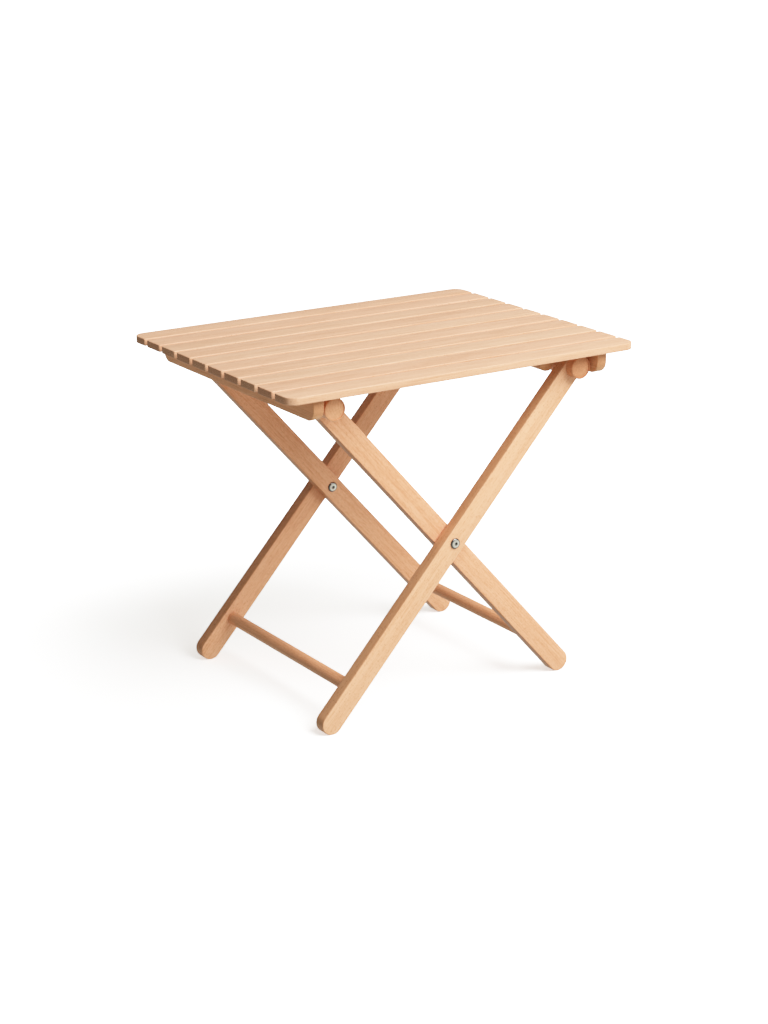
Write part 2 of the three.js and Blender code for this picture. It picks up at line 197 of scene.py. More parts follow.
def rounded_rectangle(x, y, radii):
    """Anticlockwise outline with half sizes x and y, from the low left corner."""
    a, b, c, d = radii
    return (
        arc(a - x, a - y, a, 180, 270)
        + arc(x - b, b - y, b, 270, 360)
        + arc(x - c, y - c, c, 0, 90)
        + arc(d - x, y - d, d, 90, 180)
    )


def board_mesh(outline, thickness, edge):
    """A flat outline in X and Y given a thickness along Z, with rounded rims."""
    bm = bmesh.new()
    low = [bm.verts.new((x, y, -thickness / 2)) for x, y in outline]
    bottom = bm.faces.new(list(reversed(low)))
    top = bmesh.ops.extrude_face_region(bm, geom=[bottom])
    lifted = [v for v in top["geom"] if isinstance(v, bmesh.types.BMVert)]
    bmesh.ops.translate(bm, verts=lifted, vec=(0, 0, thickness))
    bmesh.ops.recalc_face_normals(bm, faces=bm.faces)
    bm.normal_update()
    rims = [e for e in bm.edges if abs(e.verts[0].co.z - e.verts[1].co.z) < TINY]
    bmesh.ops.bevel(
        bm, geom=rims, offset=edge, offset_type="OFFSET", segments=EASE_STEPS,
        profile=0.5, affect="EDGES", clamp_overlap=True,
    )
    return bm


def lathe_mesh(profile, steps=ROUND_STEPS):
    """A piece turned about X from (x, radius) pairs; the first and last lie on the axis or meet."""
    bm = bmesh.new()
    closed = profile[0] == profile[-1]
    angles = [2 * math.pi * i / steps for i in range(steps)]
    rings = []
    for x, radius in profile[:-1] if closed else profile:
        around = angles if radius > TINY else [0]
        rings.append([bm.verts.new((x, radius * math.cos(a), radius * math.sin(a))) for a in around])
    for first, second in zip(rings, rings[1:] + ([rings[0]] if closed else [])):
        if len(first) == 1 and len(second) == 1:
            continue
        for i in range(steps):
            j = (i + 1) % steps
            corners = [first[i % len(first)], first[j % len(first)]]
            corners += [second[j % len(second)], second[i % len(second)]]
            bm.faces.new(list(dict.fromkeys(corners)))
    bmesh.ops.recalc_face_normals(bm, faces=bm.faces)
    if bm.calc_volume(signed=True) < 0:
        bmesh.ops.reverse_faces(bm, faces=bm.faces)
    return bm


def rounded_end(x, radius, edge):
    """Profile points round an end's rim, from the side to the end face at x; the piece lies towards -X."""
    angles = [math.pi / 2 * i / EASE_STEPS for i in range(EASE_STEPS + 1)]
    return [(x - edge * (1 - math.sin(a)), radius - edge * (1 - math.cos(a))) for a in angles]


def add_piece(name, bm, place=None):
    """A new object from a bmesh, placed in the row frame by a matrix."""
    mesh = bpy.data.meshes.new(name)
    bm.to_mesh(mesh)
    bm.free()
    piece = bpy.data.objects.new(name, mesh)
    bpy.context.scene.collection.objects.link(piece)
    piece.matrix_world = place or Matrix.Identity(4)
    return piece


def cutter(radius, start, end, steps=HOLE_STEPS):
    """A temporary cylinder between two points in the row frame, for drilling."""
    start, end = Vector(start), Vector(end)
    bm = bmesh.new()
    bmesh.ops.create_cone(
        bm, cap_ends=True, segments=steps, radius1=radius, radius2=radius, depth=(end - start).length
    )
    turn = (end - start).to_track_quat("Z", "Y").to_matrix().to_4x4()
    return add_piece("cutter", bm, Matrix.Translation((start + end) / 2) @ turn)


def drill(piece, cutters):
    """Cuts each temporary piece out of another and deletes it."""
    for tool in cutters:
        boolean = piece.modifiers.new("cut", "BOOLEAN")
        boolean.operation = "DIFFERENCE"
        boolean.solver = "EXACT"
        boolean.object = tool
    bpy.context.view_layer.update()
    graph = bpy.context.evaluated_depsgraph_get()
    mesh = bpy.data.meshes.new_from_object(piece.evaluated_get(graph))
    piece.modifiers.clear()
    old = piece.data
    piece.data = mesh
    bpy.data.meshes.remove(old)
    for tool in cutters:
        bpy.data.objects.remove(tool)


def store(piece, name, kind, domain, values):
    attribute = piece.data.attributes.new(name, kind, domain)
    attribute.data.foreach_set("vector" if kind == "FLOAT_VECTOR" else "value", values)


def grain(piece, seed, ring_turn, tone, pith=BOARD_PITH, paints_side_shade=False):
    """Stores where each point lay in the tree, in metres: X up the trunk, Y and Z across it from the pith.

    Every wood piece's own X runs with the grain, and ring_turn is how its section was turned in the log.
    It also stores how squarely each corner faces along the grain and across the board's own Y, and the
    piece's tone: how light it is and how far its colour leans from yellow to pink."""
    draw = random.Random(seed)
    start = draw.uniform(-ALONG_SPREAD, ALONG_SPREAD)
    depth = draw.uniform(*pith) * MM
    turn = math.radians(ring_turn + draw.uniform(-TURN_SPREAD, TURN_SPREAD))
    c, s = math.cos(turn), math.sin(turn)
    values = []
    for vertex in piece.data.vertices:
        x, y, z = vertex.co
        values += [x + start, y * c - z * s + depth, y * s + z * c]
    store(piece, "grain", "FLOAT_VECTOR", "POINT", values)
    normals = [n.vector for n in piece.data.corner_normals]
    store(piece, "end_grain", "FLOAT", "CORNER", [abs(n.x) for n in normals])
    # painted shade: this mask marks the narrow sides that the material darkens
    store(piece, "edge", "FLOAT", "CORNER", [abs(n.y) if paints_side_shade else 0 for n in normals])
    for name, value in zip(("lightness", "pinkness"), tone):
        store(piece, name, "FLOAT", "POINT", [value] * len(piece.data.vertices))


def turned_place(piece):
    """Stores each point's place in a turned piece, in metres, with X along its axis."""
    store(piece, "place", "FLOAT_VECTOR", "POINT", [c for v in piece.data.vertices for c in v.co])


def smooth(piece):
    piece.data.polygons.foreach_set("use_smooth", [True] * len(piece.data.polygons))
    piece.data.set_sharp_from_angle(angle=SMOOTH_ANGLE)


def finish_piece(piece, node, body, material):
    """Moves the piece's place into its mesh, as a CAD node's is, parents it to its body and hides the CAD
    node.
    """
    piece.data.transform(piece.matrix_world)
    piece.matrix_world = Matrix.Identity(4)
    piece.data.materials.clear()
    piece.data.materials.append(material)
    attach(piece, body)
    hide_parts(node)


# ---------------------------------------------------------------- materials

# Noise layers in wood: scale along and across the grain per millimetre, detail and roughness
BENDS = ((0.004, 0.02, 0.02), 2.0, 0.5)
FIBRES = ((0.014, 0.55, 0.55), 5.0, 0.65)
FINE_FIBRES = ((0.12, 5.0, 5.0), 2.0, 0.6)
MOTTLE = ((0.20, 0.55, 0.55), 3.0, 0.7)
CLOUDS = ((0.006, 0.07, 0.07), 3.0, 0.55)
PORE_LINES = ((0.009, 0.75, 0.75), 3.0, 0.65)
END_PORES = ((0.2, 4.0, 4.0), 2.0, 0.7)
BEND_REACH = (0, 9.0, 9.0)  # millimetres
RING_SPACING = 2.4
FLECK_SIZE = (4.2, 8.0, 1.5)

# How strongly each layer moves the wood from dark to light
FIBRE_CONTRAST, FIBRE_LEVEL = 1.5, -0.25
CLOUD_CONTRAST = 0.75
RING_CONTRAST, END_RING_CONTRAST = -0.12, -0.6
LIGHTNESS_REACH = 0.2
PORE_LINE_STRENGTH = 0.42
PORED_SHARE = 0.7
YELLOWER = (0.985, 1.035, 1.04)
PINKER = (1.015, 0.965, 0.96)

# each wood's side-shade colour is painted shade on its boards' narrow sides
WOODS = {
    "slat_beech": {
        "light": (0.80, 0.435, 0.275), "middle": (0.725, 0.375, 0.226), "dark": (0.60, 0.285, 0.157),
        "fleck": (0.46, 0.195, 0.092), "end_shade": (0.42, 0.30, 0.22), "painted_side_shade": (0.99, 0.94, 0.90),
        "fleck_strength": 0.35, "mottling": 0.35,
    },
    "batten_beech": {
        "light": (0.80, 0.385, 0.200), "middle": (0.72, 0.325, 0.155), "dark": (0.58, 0.240, 0.104),
        "fleck": (0.44, 0.165, 0.066), "end_shade": (0.62, 0.52, 0.46), "painted_side_shade": (1, 1, 1),
        "fleck_strength": 0.35, "mottling": 0.5,
    },
    "frame_beech": {
        "light": (0.87, 0.405, 0.226), "middle": (0.80, 0.348, 0.183), "dark": (0.66, 0.252, 0.117),
        "fleck": (0.48, 0.165, 0.066), "end_shade": (0.62, 0.54, 0.48), "painted_side_shade": (0.68, 0.64, 0.56),
        "fleck_strength": 0.6, "mottling": 1.3,
    },
    "turned_beech": {
        "light": (0.80, 0.350, 0.182), "middle": (0.72, 0.298, 0.146), "dark": (0.57, 0.215, 0.093),
        "fleck": (0.42, 0.145, 0.056), "end_shade": (0.93, 0.88, 0.86), "painted_side_shade": (1, 1, 1),
        "fleck_strength": 0.5, "mottling": 0.8,
    },
}

# Painted shade and a painted dark reflection for the domed heads: their colour, strength and where they fall
PAINTED_SHADE_COLOR = (0.05, 0.045, 0.04)
PAINTED_SHADE_STRENGTH = 0.9
PAINTED_RIM_SHADE = (5.2 * MM, 6.6 * MM)  # between these radii painted shade darkens a head towards its seat, for the shade and dark reflection at the dome's rim
PAINTED_SOCKET_SHADE = (3.2 * MM, 2.9 * MM)
PAINTED_SOCKET_SHADE_DEPTH = (2.9 * MM, 2.3 * MM)  # above the head's seat: painted shade deepens down into the socket


class Nodes:
    """A short way to write a node tree."""

    def __init__(self, name):
        self.material = bpy.data.materials.new(name)
        self.material.use_nodes = True
        self.tree = self.material.node_tree
        self.tree.nodes.clear()
        self.output = self.add("ShaderNodeOutputMaterial")
        self.shader = self.add("ShaderNodeBsdfPrincipled")
        self.link(self.shader.outputs["BSDF"], self.output.inputs["Surface"])

    def add(self, kind, **settings):
        node = self.tree.nodes.new(kind)
        for key, value in settings.items():
            setattr(node, key, value)
        return node

    def link(self, a, b):
        self.tree.links.new(a, b)

    def feed(self, value, socket):
        if hasattr(value, "is_linked"):
            self.link(value, socket)
        else:
            socket.default_value = value

    def attribute(self, name):
        return self.add("ShaderNodeAttribute", attribute_name=name)

    def split(self, vector):
        node = self.add("ShaderNodeSeparateXYZ")
        self.link(vector, node.inputs[0])
        return node.outputs

    def math(self, operation, a, b=0.0, c=0.0, clamp=False):
        node = self.add("ShaderNodeMath", operation=operation, use_clamp=clamp)
        for value, socket in zip((a, b, c), node.inputs):
            self.feed(value, socket)
        return node.outputs[0]

    def scaled(self, vector, factors):
        node = self.add("ShaderNodeVectorMath", operation="MULTIPLY")
        self.feed(vector, node.inputs[0])
        node.inputs[1].default_value = factors
        return node.outputs[0]

    def plus(self, a, b):
        node = self.add("ShaderNodeVectorMath", operation="ADD")
        self.feed(a, node.inputs[0])
        self.feed(b, node.inputs[1])
        return node.outputs[0]

    def length(self, vector):
        node = self.add("ShaderNodeVectorMath", operation="LENGTH")
        self.link(vector, node.inputs[0])
        return node.outputs["Value"]

    def noise(self, vector, scale, detail=2.0, roughness=0.5):
        node = self.add("ShaderNodeTexNoise")
        self.feed(vector, node.inputs["Vector"])
        node.inputs["Scale"].default_value = scale
        node.inputs["Detail"].default_value = detail
        node.inputs["Roughness"].default_value = roughness
        return node.outputs

    def layer(self, vector, kind):
        """One of the noise layers above, stretched along the grain."""
        scale, detail, roughness = kind
        return self.noise(self.scaled(vector, scale), 1.0, detail, roughness)

    def ramp(self, value, stops):
        node = self.add("ShaderNodeValToRGB")
        self.feed(value, node.inputs[0])
        elements = node.color_ramp.elements
        while len(elements) < len(stops):
            elements.new(0.5)
        for element, (position, color) in zip(elements, stops):
            element.position = position
            element.color = (*color, 1)
        return node.outputs[0]

    def smoothstep(self, value, low, high):
        node = self.add("ShaderNodeMapRange", interpolation_type="SMOOTHSTEP")
        self.feed(value, node.inputs["Value"])
        node.inputs["From Min"].default_value = low
        node.inputs["From Max"].default_value = high
        return node.outputs["Result"]

    def mix(self, factor, a, b, blend="MIX"):
        node = self.add("ShaderNodeMix", data_type="RGBA", blend_type=blend)
        self.feed(factor, node.inputs[0])
        for value, socket in ((a, node.inputs[6]), (b, node.inputs[7])):
            self.feed((*value, 1) if isinstance(value, tuple) else value, socket)
        return node.outputs[2]

    def times(self, a, b):
        return self.mix(1.0, a, b, "MULTIPLY")

    def bump(self, height, strength, distance):
        node = self.add("ShaderNodeBump")
        node.inputs["Strength"].default_value = strength
        node.inputs["Distance"].default_value = distance
        self.link(height, node.inputs["Height"])
        self.link(node.outputs[0], self.shader.inputs["Normal"])


def ray_flecks(n, bent):
    """Thin sheets that stand across the rings, in about half the cells."""
    sheet = n.add("ShaderNodeTexVoronoi", feature="F1")
    n.link(n.scaled(bent, tuple(1 / size for size in FLECK_SIZE)), sheet.inputs["Vector"])
    sheet.inputs["Scale"].default_value = 1.0
    chosen = n.add("ShaderNodeSeparateColor")
    n.link(sheet.outputs["Color"], chosen.inputs[0])
    near = n.smoothstep(sheet.outputs["Distance"], 0.42, 0.20)
    return n.math("MULTIPLY", near, n.smoothstep(chosen.outputs[0], 0.45, 0.75))


def growth_rings(n, bent):
    """Pale early wood that darkens to a line, from 0 to 1 in each ring."""
    across = n.split(bent)
    y2 = n.math("MULTIPLY", across["Y"], across["Y"])
    z2 = n.math("MULTIPLY", across["Z"], across["Z"])
    radius = n.math("SQRT", n.math("ADD", y2, z2))
    phase = n.math("FRACT", n.math("MULTIPLY", radius, 1 / RING_SPACING))
    return n.math("MULTIPLY", n.math("POWER", phase, 2.5), n.smoothstep(phase, 1.0, 0.9))


def beech(name, light, middle, dark, fleck, end_shade, painted_side_shade, fleck_strength, mottling):
    """Oiled beech: rings, fibres and ray flecks, all from where each point lay in the tree."""
    n = Nodes(name)
    lightness = n.attribute("lightness").outputs["Fac"]
    pinkness = n.attribute("pinkness").outputs["Fac"]
    end = n.smoothstep(n.attribute("end_grain").outputs["Fac"], 0.75, 0.97)
    edge = n.smoothstep(n.attribute("edge").outputs["Fac"], 0.35, 0.9)
    point = n.scaled(n.attribute("grain").outputs["Vector"], (1000, 1000, 1000))  # millimetres

    bend = n.plus(n.layer(point, BENDS)["Color"], (-0.5, -0.5, -0.5))
    bent = n.plus(point, n.scaled(bend, BEND_REACH))
    ring = growth_rings(n, bent)
    flecks = ray_flecks(n, bent)
    fibre = n.layer(bent, FIBRES)[0]
    fine = n.layer(bent, FINE_FIBRES)[0]
    mottle = n.layer(bent, MOTTLE)[0]
    cloud = n.layer(bent, CLOUDS)[0]
    pore_lines = n.smoothstep(n.layer(bent, PORE_LINES)[0], 0.56, 0.72)

    level = n.math("MULTIPLY_ADD", fibre, FIBRE_CONTRAST, FIBRE_LEVEL)
    level = n.math("MULTIPLY_ADD", n.math("SUBTRACT", mottle, 0.5), mottling, level)
    level = n.math("MULTIPLY_ADD", n.math("SUBTRACT", cloud, 0.5), CLOUD_CONTRAST, level)
    ring_contrast = n.math("MULTIPLY_ADD", end, END_RING_CONTRAST, RING_CONTRAST)
    level = n.math("MULTIPLY_ADD", ring, ring_contrast, level)
    level = n.math("MULTIPLY_ADD", lightness, LIGHTNESS_REACH, level)

    color = n.ramp(level, [(0.15, dark), (0.5, middle), (0.85, light)])
    color = n.mix(n.math("MULTIPLY", flecks, fleck_strength), color, fleck)
    color = n.mix(n.math("MULTIPLY", pore_lines, PORE_LINE_STRENGTH), color, fleck)
    lean = n.math("MULTIPLY_ADD", pinkness, 0.5, 0.5, clamp=True)
    color = n.times(color, n.mix(lean, YELLOWER, PINKER))
    # painted shade: the board's narrow sides, facing across its own Y, are darkened and reddened to stand in
    # for the shade they get
    color = n.mix(edge, color, n.times(color, painted_side_shade))
    # end grain drinks more oil: darker, with fine pores
    pores = n.layer(point, END_PORES)[0]
    pored = n.mix(n.smoothstep(pores, 0.62, 0.42), end_shade, (1, 1, 1))
    color = n.mix(end, color, n.times(color, n.mix(PORED_SHARE, end_shade, pored)))
    n.link(color, n.shader.inputs["Base Color"])

    rough = n.math("MULTIPLY_ADD", fine, 0.12, 0.40)
    n.link(n.math("MULTIPLY_ADD", end, 0.15, rough), n.shader.inputs["Roughness"])
    n.shader.inputs["Specular IOR Level"].default_value = 0.35

    height = n.math("MULTIPLY_ADD", fine, 0.6, n.math("MULTIPLY", fibre, 0.8))
    height = n.math("MULTIPLY_ADD", flecks, -0.35, height)
    height = n.math("MULTIPLY_ADD", ring, 0.3, height)
    n.bump(height, 0.35, 0.12 * MM)
    return n.material


def head_with_painted_shade(n, spot, shade):
    """A domed head's colour with painted shade: darkened at the rim where it meets the wood, for the shade and
    dark reflection there, and down in its socket, for the shade in the recess.
    """
    out = n.length(n.scaled(spot, (0, 1, 1)))
    seat = n.smoothstep(out, *PAINTED_RIM_SHADE)
    socket = n.math(
        "MULTIPLY",
        n.smoothstep(out, *PAINTED_SOCKET_SHADE),
        n.smoothstep(n.split(spot)["X"], *PAINTED_SOCKET_SHADE_DEPTH),
    )
    shade_mask = n.math("MAXIMUM", seat, socket)
    return n.mix(n.math("MULTIPLY", shade_mask, PAINTED_SHADE_STRENGTH), shade, PAINTED_SHADE_COLOR)


def plated(name, color, roughness, mottle, scratch, painted_head_shade):
    """Plated steel: a slight mottle in colour and gloss and fine turning marks, and where asked, painted shade
    at a head's rim and in its socket.
    """
    n = Nodes(name)
    spot = n.attribute("place").outputs["Vector"]
    cloud = n.noise(n.scaled(spot, (1000, 1000, 1000)), 0.35, 3.0)[0]
    marks = n.noise(n.scaled(spot, (9000, 900, 900)), 1.0, 3.0, 0.7)[0]
    darker = tuple(c * (1 - mottle) for c in color)
    shade = n.ramp(cloud, [(0.3, darker), (0.7, color)])
    n.link(head_with_painted_shade(n, spot, shade) if painted_head_shade else shade, n.shader.inputs["Base Color"])
    rough = n.math("MULTIPLY_ADD", cloud, 0.12, roughness - 0.06)
    n.link(n.math("MULTIPLY_ADD", marks, 0.08, rough), n.shader.inputs["Roughness"])
    n.shader.inputs["Metallic"].default_value = 1.0
    n.bump(marks, scratch, 0.02 * MM)
    return n.material


def nylon():
    """Natural nylon: milky, with the faint grain of a moulded disc."""
    n = Nodes("nylon")
    spot = n.scaled(n.attribute("place").outputs["Vector"], (1000, 1000, 1000))
    cloud = n.noise(spot, 0.6, 3.0)[0]
    milky = n.ramp(cloud, [(0.3, (0.62, 0.60, 0.54)), (0.7, (0.74, 0.72, 0.66))])
    n.link(milky, n.shader.inputs["Base Color"])
    n.link(n.math("MULTIPLY_ADD", cloud, 0.15, 0.42), n.shader.inputs["Roughness"])
    n.bump(n.noise(spot, 4.0)[0], 0.2, 0.05 * MM)
    return n.material


def floor_material():
    """A white sweep that glows to full white away from the table."""
    n = Nodes("studio_floor")
    spot = n.add("ShaderNodeTexCoord").outputs["Object"]
    low, high = [(tone, tone, tone) for tone in FLOOR_TONES]
    diffuse = n.add("ShaderNodeBsdfDiffuse")
    n.link(n.ramp(n.noise(spot, 3.0)[0], [(0.3, low), (0.7, high)]), diffuse.inputs["Color"])
    glow = n.add("ShaderNodeEmission")
    base, further = FLOOR_GLOW
    away = n.smoothstep(n.length(spot), *FLOOR_GLOW_RANGE)
    n.link(n.math("MULTIPLY_ADD", away, further, base), glow.inputs["Strength"])
    both = n.add("ShaderNodeAddShader")
    n.link(diffuse.outputs[0], both.inputs[0])
    n.link(glow.outputs[0], both.inputs[1])
    n.link(both.outputs[0], n.output.inputs["Surface"])
    return n.material


MATERIALS = {name: beech(name, **look) for name, look in WOODS.items()}
# the nickel heads carry painted shade at the rim and in the socket
MATERIALS["nickel"] = plated("nickel", (0.80, 0.77, 0.73), 0.22, 0.15, 0.15, painted_head_shade=True)
MATERIALS["zinc"] = plated("zinc", (0.62, 0.64, 0.66), 0.34, 0.25, 0.3, painted_head_shade=False)
MATERIALS["nylon"] = nylon()


# ---------------------------------------------------------------- the top

def size_of(node):
    low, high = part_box(node)
    return high - low


def middle_of(node):
    low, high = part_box(node)
    return (low + high) / 2


def screws_in(node):
    """The screws whose axis passes through a CAD node, seen from above."""
    low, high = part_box(node)
    spots = {name: middle_of(name) for name in frame["nodes"] if "screw" in name}
    return sorted(name for name, spot in spots.items() if low.x < spot.x < high.x and low.y < spot.y < high.y)


def screw_cutters(node, counterbored):
    """Drills for every screw in a node: the clearance hole and, from below, the counterbore."""
    low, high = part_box(node)
    tools = []
    for name in screws_in(node):
        foot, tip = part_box(name)
        x, y, _ = (foot + tip) / 2
        hole_top = min(tip.z + GAP, high.z + OVERSHOOT)
        tools.append(cutter(SCREW_SHANK + GAP, (x, y, foot.z - OVERSHOOT), (x, y, hole_top)))
        if counterbored:
            shoulder = foot.z + COUNTERBORE_DEPTH
            tools.append(cutter(COUNTERBORE, (x, y, low.z - OVERSHOOT), (x, y, shoulder)))
    return tools


def slat(index, count):
    node = f"slat_{index + 1:02d}"
    size = size_of(node)
    front = TOP_CORNER if index == 0 else SLAT_CORNER
    rear = TOP_CORNER if index == count - 1 else SLAT_CORNER
    outline = rounded_rectangle(size.x / 2, size.y / 2, (front, front, rear, rear))
    place = Matrix.Translation(middle_of(node))
    piece = add_piece(node + "_board", board_mesh(outline, size.z, SLAT_EDGE), place)
    drill(piece, screw_cutters(node, counterbored=False))
    smooth(piece)
    turn = FLAT_SAWN if index % RIFT_EVERY else RIFT_SAWN
    grain(piece, SLAT_SEED + index, turn, SLAT_TONES[index], paints_side_shade=True)
    finish_piece(piece, node, "tabletop", MATERIALS["slat_beech"])


def batten(side):
    """A rail whose outline is drawn in the table's Y and Z, with its thickness along X."""
    node = "batten_" + side
    size = size_of(node)
    radii = (BATTEN_CORNER, BATTEN_CORNER, BATTEN_TOP_CORNER, BATTEN_TOP_CORNER)
    outline = rounded_rectangle(size.y / 2, size.z / 2, radii)
    turn = Matrix(((0, 0, 1), (1, 0, 0), (0, 1, 0))).to_4x4()
    place = Matrix.Translation(middle_of(node)) @ turn
    piece = add_piece(node + "_rail", board_mesh(outline, size.x, BATTEN_EDGE), place)
    drill(piece, screw_cutters(node, counterbored=True))
    smooth(piece)
    grain(piece, BATTEN_SEED + SIDES[side], BATTEN_TURN, BATTEN_TONE)
    finish_piece(piece, node, "tabletop", MATERIALS["batten_beech"])


def saddle_outline(node, rod):
    """The block's outline about the rod's axis, with the middle of the table towards -X."""
    low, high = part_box(node)
    rod_middle, rod_radius = middle_of(rod), size_of(rod).x / 2
    inboard = max(abs(low.x - rod_middle.x), abs(high.x - rod_middle.x))
    outboard = (high.x - low.x) - inboard
    drop, top = rod_middle.z - low.z, high.z - rod_middle.z
    notch = rod_radius + GAP
    flare = math.radians(SADDLE_FLARE)
    mouth = notch * math.cos(flare) + (notch * math.sin(flare) + drop) * math.tan(flare)
    return (
        [(outboard, -drop), (outboard, top), (-inboard, top)]
        + arc(SADDLE_CORNER - inboard, SADDLE_CORNER - drop, SADDLE_CORNER, 180, 270)
        + [(-mouth, -drop)]
        + arc(0, 0, notch, 180 - SADDLE_FLARE, 0)
        + [(notch, -drop)]
    )


def saddle(side, end):
    """A notched block; its outline's Y lies along the table's Z, and the left blocks are turned half round."""
    node = f"saddle_{side}_{end}"
    rod = "outer_top_rod" if side == "right" else "inner_top_rod"
    outline = list(reversed(saddle_outline(node, rod)))
    rod_middle = middle_of(rod)
    spot = Vector((rod_middle.x, middle_of(node).y, rod_middle.z))
    upright = Matrix.Rotation(math.pi / 2, 4, "X")
    facing = Matrix.Rotation(0 if side == "right" else math.pi, 4, "Z")
    place = Matrix.Translation(spot) @ facing @ upright
    piece = add_piece(node + "_block", board_mesh(outline, size_of(node).y, SADDLE_EDGE), place)
    drill(piece, screw_cutters(node, counterbored=True))
    smooth(piece)
    by_end, by_side = SADDLE_TONE_STEPS
    seed = SADDLE_SEED + 2 * SIDES[side] + ENDS[end]
    grain(piece, seed, SADDLE_TURN, (by_end * ENDS[end], by_side * SIDES[side]))
    finish_piece(piece, node, "tabletop", MATERIALS["batten_beech"])


def cross_recess(foot):
    """Two crossed bars that cut the recess in a screw's foot."""
    bars = []
    for dx, dy in ((RECESS_LENGTH, RECESS_WIDTH), (RECESS_WIDTH, RECESS_LENGTH)):
        bm = bmesh.new()
        bmesh.ops.create_cube(bm, size=2)
        bmesh.ops.scale(bm, vec=(dx, dy, RECESS_DEPTH), verts=bm.verts)
        bars.append(add_piece("cutter", bm, Matrix.Translation(foot)))
    return bars


def wood_screw(node):
    """A countersunk screw standing on its head: rim, cone, threaded shank, point and cross recess."""
    low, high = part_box(node)
    length, head = high.z - low.z, (high.x - low.x) / 2
    root = SCREW_SHANK - SCREW_THREAD_DEPTH
    profile = [(0, 0), (0, head - SCREW_RIM_EDGE), (SCREW_RIM_EDGE, head), (SCREW_RIM, head)]
    profile += [(SCREW_NECK, SCREW_SHANK), (SCREW_THREAD_START, SCREW_SHANK)]
    x, point = SCREW_THREAD_START, length - SCREW_POINT
    while x + SCREW_PITCH < point:
        profile += [(x + 0.25 * SCREW_PITCH, root), (x + 0.75 * SCREW_PITCH, root)]
        x += SCREW_PITCH
        profile.append((x, SCREW_SHANK))
    profile += [(point, root), (length, 0)]
    middle = middle_of(node)
    foot = Matrix.Translation((middle.x, middle.y, low.z))
    upright = Matrix.Rotation(-math.pi / 2, 4, "Y")
    piece = add_piece(node + "_steel", lathe_mesh(profile, SCREW_STEPS), foot @ upright)
    drill(piece, cross_recess(foot.translation))
    smooth(piece)
    turned_place(piece)
    finish_piece(piece, node, "tabletop", MATERIALS["zinc"])


# ---------------------------------------------------------------- the frames

def leg(frame_name, end):
    """A leg with round ends, about its pivot, X towards its top."""
    node = f"{frame_name}_leg_{end}"
    low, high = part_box(node)
    rod = middle_of(frame_name + "_top_rod")
    radius = high.z - rod.z
    foot_x = low.x + radius if frame_name == "outer" else high.x - radius
    foot = Vector((foot_x, 0, low.z + radius))
    top = Vector((rod.x, 0, rod.z))
    hub = Vector((PIVOT.x, 0, PIVOT.z))
    outline = arc((top - hub).length, 0, radius, -90, 90) + arc(-(foot - hub).length, 0, radius, 90, 270)
    along = (top - hub).normalized()
    turn = Matrix((along, Y_AXIS.cross(along), Y_AXIS)).transposed()
    middle = Vector((PIVOT.x, (low.y + high.y) / 2, PIVOT.z))
    place = Matrix.Translation(middle) @ turn.to_4x4()
    piece = add_piece(node + "_board", board_mesh(outline, high.y - low.y, LEG_EDGE), place)

    y0, y1 = low.y - OVERSHOOT, high.y + OVERSHOOT
    rung = middle_of(frame_name + "_rung")
    mouth = (high.y if end == "front" else low.y) - ENDS[end] * OVERSHOOT
    blind = ENDS[end] * (size_of(frame_name + "_rung").y / 2 + GAP)
    drill(piece, [
        cutter(ROD_TENON + GAP, (rod.x, y0, rod.z), (rod.x, y1, rod.z), TENON_HOLE_STEPS),
        cutter(SLEEVE_BARREL + GAP, (PIVOT.x, y0, PIVOT.z), (PIVOT.x, y1, PIVOT.z), PIN_HOLE_STEPS),
        cutter(RUNG_TENON + GAP, (rung.x, mouth, rung.z), (rung.x, blind, rung.z), PIN_HOLE_STEPS),
    ])
    smooth(piece)
    grain(piece, LEG_SEEDS[frame_name] + ENDS[end], LEG_TURN, LEG_TONES[node], paints_side_shade=True)
    finish_piece(piece, node, frame_name + "_frame", MATERIALS["frame_beech"])


def along_y(middle, sign=1):
    """A placement that lays a piece turned about X along Y."""
    return Matrix.Translation(middle) @ Matrix.Rotation(sign * math.pi / 2, 4, "Z")


def dowel(node, frame_name, tenon, seed):
    """A rod or rung: round body, eased shoulders and a tenon at each end."""
    size = size_of(node)
    radius, end = size.x / 2, size.y / 2
    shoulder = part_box(frame_name + "_leg_rear")[0].y - GAP
    half = [(shoulder - SHOULDER_EDGE, radius), (shoulder, radius - SHOULDER_EDGE), (shoulder, tenon)]
    half += [(end - TENON_EDGE, tenon), (end, tenon - TENON_EDGE), (end, 0)]
    profile = [(-x, r) for x, r in reversed(half)] + half
    piece = add_piece(node + "_turned", lathe_mesh(profile), along_y(middle_of(node)))
    smooth(piece)
    grain(piece, seed, 0, DOWEL_TONE, DOWEL_PITH)
    finish_piece(piece, node, frame_name + "_frame", MATERIALS["turned_beech"])


def rod_cap(frame_name, end, seed):
    """The round cap on a tenon; X runs outwards from the leg.

    Known fault: the rim's points are taken backwards, so the surface crosses itself and the end is a
    shallow cone inside a raised lip. Without reversed it would be a flat face with a rounded rim."""
    node = f"{frame_name}_rod_cap_{end}"
    size = size_of(node)
    radius, length = size.x / 2, size.y
    bottom = length - CAP_WALL
    profile = [(bottom, 0), (bottom, CAP_BORE), (0, CAP_BORE), (0, radius - SHOULDER_EDGE)]
    profile += [(SHOULDER_EDGE, radius)] + list(reversed(rounded_end(length, radius, CAP_EDGE)))
    profile += [(length, 0)]
    start = middle_of(node) - ENDS[end] * length / 2 * Y_AXIS
    piece = add_piece(node + "_turned", lathe_mesh(profile), along_y(start, ENDS[end]))
    smooth(piece)
    grain(piece, seed, 0, CAP_TONES[frame_name], CAP_PITH)
    finish_piece(piece, node, frame_name + "_frame", MATERIALS["turned_beech"])


# ---------------------------------------------------------------- the pivots

